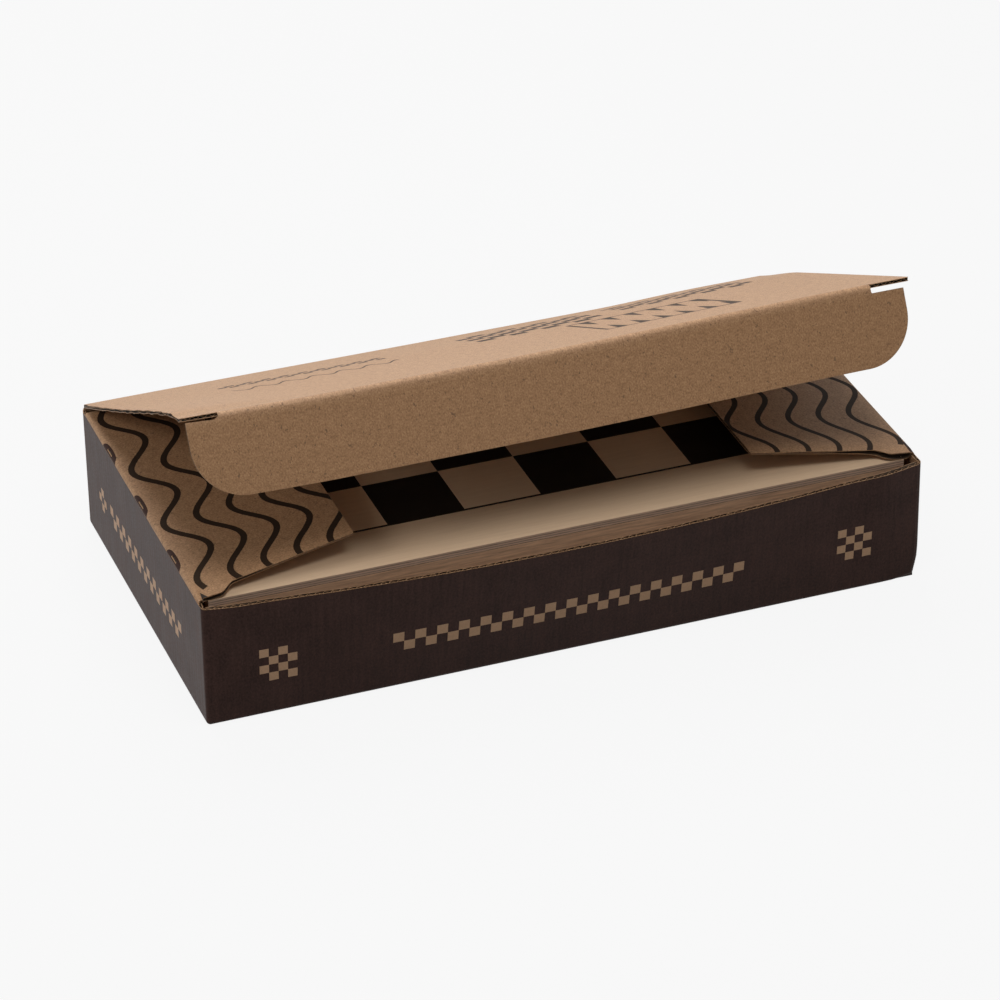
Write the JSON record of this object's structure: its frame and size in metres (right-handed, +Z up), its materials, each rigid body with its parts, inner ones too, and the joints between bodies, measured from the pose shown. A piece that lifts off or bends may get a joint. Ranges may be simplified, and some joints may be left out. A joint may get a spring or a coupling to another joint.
{
  "type": "game box",
  "caption": "Tuck-top corrugated carton, half open, with hinged lid, tuck flap and dust flaps, holding a folded wooden board-game case.",
  "frame": {"origin": "centre of the carton's underside, on the table", "axes": "+X to the right along the carton's length, +Y to the back where the lid is hinged, +Z up"},
  "size_m": [0.31, 0.1808, 0.1282],
  "materials": {
    "printed_board": "matt dark brown print on corrugated kraft board",
    "kraft_board": "bare corrugated kraft board",
    "plywood": "printed and sealed plywood",
    "frame_wood": "stained brown wood",
    "brass": "polished"
  },
  "bodies": {
    "carton": {"front_wall": "printed_board", "rear_wall": "printed_board", "left_wall": "printed_board", "right_wall": "printed_board", "glue_flap": "kraft_board", "base_front_flap": "kraft_board", "base_rear_flap": "kraft_board", "base_left_flap": "kraft_board", "base_right_flap": "kraft_board", "lower_board": "plywood", "lower_front_rail": "frame_wood", "lower_rear_rail": "frame_wood", "lower_side_rails": "frame_wood", "upper_board": "plywood", "upper_front_rail": "frame_wood", "upper_rear_rail": "frame_wood", "upper_side_rails": "frame_wood", "upper_hinge_leaves": "brass", "lower_hinge_leaves": "brass", "hinge_pins": "brass"},
    "lid": {"lid_panel": "kraft_board"},
    "tuck": {"tuck_flap": "kraft_board"},
    "left_dust": {"left_dust_flap": "kraft_board"},
    "right_dust": {"right_dust_flap": "kraft_board"}
  },
  "joints": [
    {"name": "lid_crease", "type": "hinge", "parent": "carton", "child": "lid", "pos_m": [0, 0.0842, 0.0577], "axis": [-1, 0, 0], "range_deg": [-25.2, 154.8]},
    {"name": "tuck_crease", "type": "hinge", "parent": "lid", "child": "tuck", "pos_m": [0, -0.06356, 0.12723], "axis": [-1, 0, 0], "range_deg": [-4, 86]},
    {"name": "left_dust_crease", "type": "hinge", "parent": "carton", "child": "left_dust", "pos_m": [-0.1542, 0, 0.0558], "axis": [0, -1, 0], "range_deg": [-7, 43]},
    {"name": "right_dust_crease", "type": "hinge", "parent": "carton", "child": "right_dust", "pos_m": [0.1542, 0, 0.0558], "axis": [0, 1, 0], "range_deg": [-7, 43]}
  ],
  "couplings": [
    {"joint": "left_dust_crease", "follows": "lid_crease", "ratio": 0.2777},
    {"joint": "right_dust_crease", "follows": "lid_crease", "ratio": 0.2777}
  ]
}
